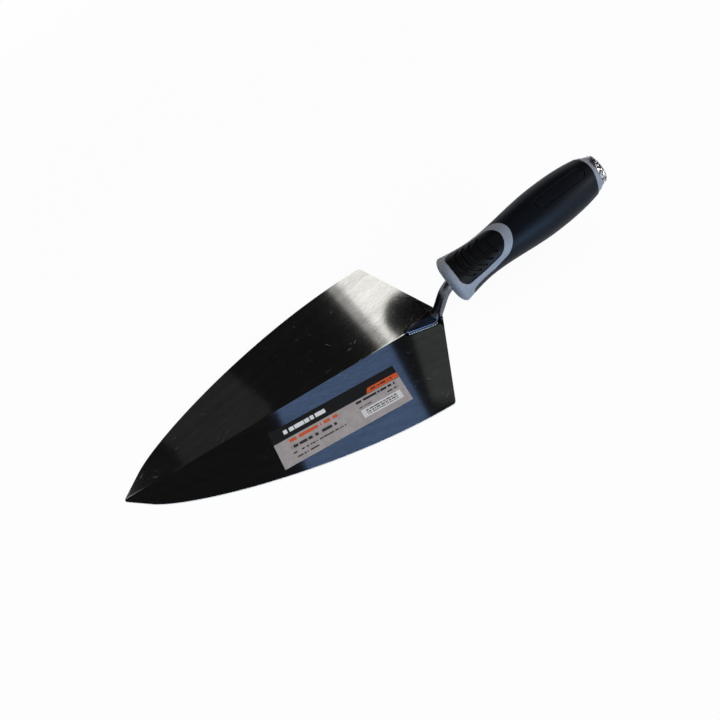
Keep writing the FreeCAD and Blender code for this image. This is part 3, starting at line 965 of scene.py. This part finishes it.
        def round_opening(across: float, along: float) -> Vector:
            """Point of the skin between the opening and its outer edge."""
            x0, turn0 = self.opening_edge(across)
            x1, turn1 = outer_edge(across)
            ease = along ** self.skin_ease
            return self.on_form(x0 + (x1 - x0) * ease, turn0 + (turn1 - turn0) * ease, self.skin_inset)

        def behind(across: float, along: float) -> Vector:
            """Point of the skin from there to the scalloped rear end."""
            turn = math.pi * (1.0 - 2.0 * across)
            height = end_radius * math.cos(turn)
            last = end_x - depth + scallop - math.sqrt(scallop ** 2 - height ** 2)
            return self.on_form(split + (last - split) * along, turn, self.skin_inset)

        sheet(bm, 320, 44, round_opening)
        sheet(bm, 160, 64, behind)
        bmesh.ops.remove_doubles(bm, verts=bm.verts[:], dist=0.01 * MM)
        bmesh.ops.recalc_face_normals(bm, faces=bm.faces[:])
        bmesh.ops.solidify(bm, geom=bm.faces[:], thickness=self.grip_wall)
        bmesh.ops.recalc_face_normals(bm, faces=bm.faces[:])
        round_edges(bm, 55.0, self.grip_round, 4)
        self.cut_plaque(bm)
        piece("grip_sleeve_skin", bm, self.rubber, Slot.RUBBER, ["grip_sleeve"], self.place(), 60.0)

    def cut_plaque(self, bm: bmesh.types.BMesh) -> None:
        """Sinks the outline of a long plaque into the top of the sleeve.

        Args:
            bm: the sleeve's mesh, in the handle's frame.
        """
        reach = self.plaque_half + self.plaque_room
        half_run = self.plaque_straight / 2

        def near_plaque(vert: bmesh.types.BMVert) -> bool:
            """Whether a vertex is on the sleeve's outside, on or beside the plaque."""
            x, y, z = vert.co
            inside = abs(x - self.plaque_middle) < half_run + reach and abs(y) < reach
            return inside and z > 0.0 and math.hypot(y, z) > self.radius(x) - self.plaque_skin

        faces = [face for face in bm.faces if all(near_plaque(vert) for vert in face.verts)]
        edges = list(dict.fromkeys(edge for face in faces for edge in face.edges))
        bmesh.ops.subdivide_edges(bm, edges=edges, cuts=4, use_grid_fill=True)
        for vert in bm.verts:
            if near_plaque(vert):
                along = max(abs(vert.co.x - self.plaque_middle) - half_run, 0.0)
                off = abs(math.hypot(along, vert.co.y) - self.plaque_half)
                depth = self.plaque_depth * (1.0 - smooth(off / (self.line_share * self.plaque_line)))
                vert.co = self.on_form(vert.co.x, math.atan2(vert.co.y, vert.co.z), depth)


@dataclass
class ThumbPad:
    """The soft pad under the thumb, with five hooked grooves."""

    handle: Handle
    front: float = 9.0 * MM
    front_half: float = 14.0 * MM
    centre: float = 39.9 * MM
    end_radius: float = 11.1 * MM
    corner: float = 5.2 * MM
    corner_steps: int = 16
    spine_share: float = 0.8
    wall: float = 2.4 * MM
    edge_round: float = 0.7 * MM
    under_share: float = 0.08
    wall_share: float = 0.16
    top_ease: float = 1.35
    groove_first: float = 6.0 * MM
    groove_pitch: float = 5.6 * MM
    groove_pitch_growth: float = 0.5 * MM
    groove_radius: float = 12.5 * MM
    groove_ends: tuple[float, ...] = (59.0, 57.0, 53.0, 47.0, 37.0)
    groove_width: float = 2.9 * MM
    groove_wall: float = 0.3 * MM
    groove_front: float = 0.5 * MM
    groove_depth: float = 1.15 * MM
    groove_fall: float = 0.45
    around: int = 600
    inward: int = 90

    def outline(self) -> list[Vector]:
        """Evenly spaced points round the pad, seen from above."""
        run = self.centre - self.front
        reach = math.hypot(run, self.front_half)
        heading = math.atan2(-self.front_half, run) + math.asin(self.end_radius / reach)
        length = math.sqrt(reach ** 2 - self.end_radius ** 2)
        ahead = Vector((math.cos(heading), math.sin(heading), 0.0))
        left = Vector((self.front, self.front_half, 0.0))
        touch = left + ahead * length
        turn = math.pi / 2 - heading
        hub = Vector((self.front + self.corner, self.front_half - self.corner * math.tan(turn / 2), 0.0))
        side = []
        for step in range(self.corner_steps + 1):
            angle = math.pi - turn * step / self.corner_steps
            side.append(hub + Vector((math.cos(angle), math.sin(angle), 0.0)) * self.corner)
        side.append(touch)
        first = math.atan2(touch.y, touch.x - self.centre)
        arch_steps = 3 * self.corner_steps
        for step in range(1, arch_steps + 1):
            angle = first * (1 - step / arch_steps)
            side.append(Vector((self.centre + self.end_radius * math.cos(angle),
                                self.end_radius * math.sin(angle), 0.0)))
        ring = [Vector((self.front, 0.0, 0.0)), *side]
        ring += [Vector((p.x, -p.y, 0.0)) for p in reversed(side[:-1])]
        return evenly(ring, self.around)

    def groove(self, x: float, y: float) -> float:
        """Depth of the grooves at a point of the pad seen from above."""
        depth, station = 0.0, self.front + self.groove_first
        for index, end in enumerate(self.groove_ends):
            hub = station + self.groove_radius
            station += self.groove_pitch + index * self.groove_pitch_growth
            share = math.atan2(abs(y), hub - x) / math.radians(end)
            if share >= 1.0:
                continue
            width = max(self.groove_width * math.sqrt(1.0 - share ** 2), self.groove_front)
            off = math.hypot(x - hub, y) - self.groove_radius
            if off > 0.0:
                floor = 1.0 - self.groove_fall * min(off / width, 1.0)
                here = floor * (1.0 - smooth((off - width + self.groove_front) / self.groove_front))
            else:
                here = 1.0 - smooth(-off / self.groove_wall)
            fade = smooth((1.0 - share) * math.radians(end) * self.groove_radius / self.groove_front)
            depth = max(depth, self.groove_depth * fade * here)
        return depth

    def build(self) -> None:
        """Lays rings from the pad's underside, up its wall and in over its grooved top."""
        ring = self.outline()
        count = len(ring)
        spine_start = self.front + self.front_half * self.spine_share
        under, wall = self.under_share, self.wall_share

        def place(across: float, along: float) -> Vector:
            """Point of the ring at that share of the way, from the middle underneath to the middle on top."""
            rim = ring[round(across * count) % count]
            middle = Vector((min(max(rim.x, spine_start), self.centre), 0.0, 0.0))
            if along <= under:
                share, sink = along / under, self.wall
            elif along <= wall:
                share, sink = 1.0, self.wall * (1.0 - (along - under) / (wall - under))
            else:
                share, sink = 1.0 - ((along - wall) / (1.0 - wall)) ** self.top_ease, 0.0
            spot = middle + (rim - middle) * share
            if along > under:
                inset = (rim - middle).length * (1.0 - share)
                lack = max(self.edge_round - inset, 0.0)
                sink = max(sink, self.edge_round - math.sqrt(max(self.edge_round ** 2 - lack ** 2, 0.0)))
                sink += self.groove(spot.x, spot.y)
            radius = self.handle.radius(spot.x)
            height = math.sqrt(max(radius ** 2 - spot.y ** 2, 0.0))
            return Vector((spot.x, spot.y * (radius - sink) / radius, height * (radius - sink) / radius))

        bm = bmesh.new()
        sheet(bm, count, self.inward, place)
        bmesh.ops.remove_doubles(bm, verts=bm.verts[:], dist=0.004 * MM)
        bmesh.ops.dissolve_degenerate(bm, edges=bm.edges[:], dist=0.001 * MM)
        piece("thumb_pad_skin", bm, self.handle.soft, Slot.PAD, ["thumb_pad"], self.handle.place(), 60.0)


# ---------------------------------------------------------------- studio
def direction(azimuth: float, elevation: float) -> Vector:
    """Unit vector towards an azimuth and an elevation, both in degrees."""
    turn, rise = math.radians(azimuth), math.radians(elevation)
    return Vector((math.cos(rise) * math.cos(turn), math.cos(rise) * math.sin(turn), math.sin(rise)))


@dataclass(frozen=True)
class Lamp:
    """A rectangular soft light, aimed at the middle of the object; its size is given as angles."""

    name: str
    azimuth: float
    elevation: float
    spread: tuple[float, float]
    radiance: float
    colour: Colour = WHITE
    roll: float = 0.0
    distance: float = 4.0
    mirrored: bool = True

    def hang(self, target: Vector) -> None:
        """Hangs the lamp and points it at the target."""
        away = direction(self.azimuth, self.elevation)
        light = bpy.data.lights.new(self.name, "AREA")
        light.shape = "RECTANGLE"
        light.size, light.size_y = (2 * self.distance * math.tan(math.radians(angle / 2))
                                    for angle in self.spread)
        light.energy = self.radiance * math.pi * light.size * light.size_y
        light.color = self.colour
        turn = away.to_track_quat("Z", "Y").to_matrix() @ Matrix.Rotation(math.radians(self.roll), 3, "Z")
        lamp = bpy.data.objects.new(self.name, light)
        lamp.location = target + away * self.distance
        lamp.rotation_euler = turn.to_euler()
        lamp.visible_camera = False
        lamp.visible_glossy = self.mirrored
        bpy.context.scene.collection.objects.link(lamp)


@dataclass
class Studio:
    """Camera, lamps, floor and world."""

    eye: tuple[float, float, float] = (-62.621 * MM, -253.227 * MM, 495.557 * MM)
    look: tuple[float, float, float] = (26.3806, 8.8874, -30.1201)
    lens: float = 36.905
    centring: float = 0.5 / 720
    target: Vector = field(default_factory=lambda: Vector((0.0, 0.0, 0.0)))
    floor_radius: float = 3.0
    lit_radius: tuple[float, float] = (0.35, 0.8)
    paper_white: Colour = (0.9, 0.9, 0.9)
    ring_level: float = 1.0
    dome_level: float = 0.014
    far_top: tuple[float, float] = (6.0, 14.0)
    near_top: tuple[float, float] = (30.0, 42.0)
    near_tint: Colour = (0.58, 0.80, 1.25)
    flag_azimuth: float = 58.7
    flag_elevation: float = 68.2
    flag_spread: float = 2.0
    flag_distance: float = 11.8
    lamps: tuple[Lamp, ...] = (
        Lamp("window", 63.9, 66.6, (4.1, 11.0), 1.3, WARM, roll=35.6, distance=12.0),
        Lamp("window_soft", 64.9, 66.8, (4.9, 11.4), 0.65, WARM, roll=35.6, distance=12.0),
        Lamp("blue_card", 84.6, 54.4, (11.6, 16.5), 0.34, (0.33, 0.53, 1.0)),
        Lamp("heel_card", 64.0, 53.0, (8.0, 12.0), 0.07, (0.9, 1.0, 0.98)),
        Lamp("tip_card", 134.6, 66.9, (4.4, 8.0), 1.0, distance=12.0),
        Lamp("tip_glow", 112.0, 68.0, (8.0, 9.0), 0.025),
        Lamp("foot_card", -95.0, 72.0, (12.0, 10.0), 0.09, (0.45, 0.65, 1.0)),
        Lamp("sheen_card", -52.0, 34.0, (24.0, 13.0), 5.4, (1.0, 0.86, 0.70)),
        Lamp("top_card", -8.0, 62.0, (26.0, 14.0), 1.1, (1.0, 0.98, 0.95)),
        Lamp("zenith_card", 180.0, 78.0, (30.0, 12.0), 0.5, (1.0, 0.97, 0.92), distance=12.0),
        Lamp("near_wall", -100.0, 12.0, (40.0, 18.0), 4.2, (0.28, 0.60, 1.0), distance=1.8),
        Lamp("overhead", -90.0, 78.0, (60.0, 50.0), 1.6, (1.0, 0.99, 0.97), distance=2.2, mirrored=False),
    )

    def build(self) -> None:
        """Sets the camera, the lamps, the floor and the world."""
        self.camera()
        self.disc("floor", self.floor_radius, 96, self.paper(), Matrix.Identity(4))
        self.flag()
        for lamp in self.lamps:
            lamp.hang(self.target)
        self.world()
        bpy.context.scene.view_settings.view_transform = "Standard"

    def world(self) -> None:
        """A bright ring of soft light round the object under a dark ceiling, cooler on the near side."""
        world = bpy.data.worlds.new("studio")
        world.use_nodes = True
        paint = Paint(world.node_tree)
        x, y, z = paint.coordinates("Generated")
        near = paint.step(y, -0.7, 0.1, 1.0, 0.0)
        far_low, far_high = (math.sin(math.radians(angle)) for angle in self.far_top)
        near_low, near_high = (math.sin(math.radians(angle)) for angle in self.near_top)
        ring = paint.step(z, far_low, far_high, 1.0, 0.0) * (1.0 - near)
        ring = ring + paint.step(z, near_low, near_high, 1.0, 0.0) * near
        ring = ring * paint.step(x, -1.0, -0.3, 0.35, 1.0)
        straight = paint.node("LightPath", out="Is Camera Ray")
        level = (ring * self.ring_level + self.dome_level).most(straight)
        colour = paint.mix(near * (1.0 - self.seen(paint)), WHITE, self.near_tint)
        paint.output(paint.node("Background", None, {"Color": colour, "Strength": level}), "OutputWorld")
        bpy.context.scene.world = world

    @staticmethod
    def seen(paint: Paint) -> Wire:
        """1 for rays that show the background, straight or in metal and glass."""
        camera, glossy, transmission = (paint.node("LightPath", out=f"Is {kind} Ray")
                                        for kind in ("Camera", "Glossy", "Transmission"))
        return camera.most(glossy).most(transmission)

    @staticmethod
    def disc(name: str, radius: float, segments: int, material: bpy.types.Material,
             place: Matrix) -> bpy.types.Object:
        """Makes a flat round piece of the stage."""
        bm = bmesh.new()
        bmesh.ops.create_circle(bm, cap_ends=True, segments=segments, radius=radius, matrix=place)
        mesh = bpy.data.meshes.new(name)
        bm.to_mesh(mesh)
        bm.free()
        mesh.materials.append(material)
        made = bpy.data.objects.new(name, mesh)
        bpy.context.scene.collection.objects.link(made)
        made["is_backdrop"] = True
        return made

    def flag(self) -> None:
        """Round black card that keeps part of the window off the blade's heel."""
        away = direction(self.flag_azimuth, self.flag_elevation)
        place = Matrix.Translation(self.target + away * self.flag_distance)
        black = Moulded("black_card", (0.004, 0.004, 0.004), 0.9, specular=0.0).material()
        card = self.disc("flag", self.flag_distance * math.tan(math.radians(self.flag_spread)), 64, black,
                         place @ away.to_track_quat("Z", "Y").to_matrix().to_4x4())
        card.visible_camera = False

    def camera(self) -> None:
        """Sets the camera at its place."""
        data = bpy.data.cameras.new("camera")
        data.lens = self.lens
        data.sensor_width = 36.0
        data.shift_x = -self.centring
        data.shift_y = self.centring
        data.clip_start = 0.01
        made = bpy.data.objects.new("camera", data)
        made.location = self.eye
        made.rotation_euler = [math.radians(angle) for angle in self.look]
        bpy.context.scene.collection.objects.link(made)
        bpy.context.scene.camera = made

    def paper(self) -> bpy.types.Material:
        """White paper: partly lit by the lamps near the object, plain white further out."""
        made = bpy.data.materials.new("white_paper")
        made.use_nodes = True
        paint = Paint(made.node_tree)
        x, y, _ = paint.coordinates()
        plain = paint.step(paint.length(x, y), *self.lit_radius, 0.95, 1.0)
        straight = paint.node("LightPath", out="Is Camera Ray")
        lit = paint.node("BsdfDiffuse", None, {"Color": (*self.paper_white, 1.0)})
        glow = paint.node("Emission", None, {"Color": (*WHITE, 1.0), "Strength": 1.0})
        paint.output(paint.node("MixShader", None, {0: straight * plain, 1: lit, 2: glow}))
        return made


# ---------------------------------------------------------------- the trowel
def corners() -> list[list[float]]:
    """The shown object's lowest and highest corner, as plain lists."""
    return [list(corner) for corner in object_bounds()]


def main() -> None:
    """Builds the trowel and its studio."""
    logging.basicConfig(level=logging.INFO, format="%(message)s")
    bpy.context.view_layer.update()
    blade = Blade()
    blade.build()
    Label(blade).build()
    Shank().build()
    Handle(blade.heel).build()
    Studio().build()
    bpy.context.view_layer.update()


if __name__ == "__main__":
    main()
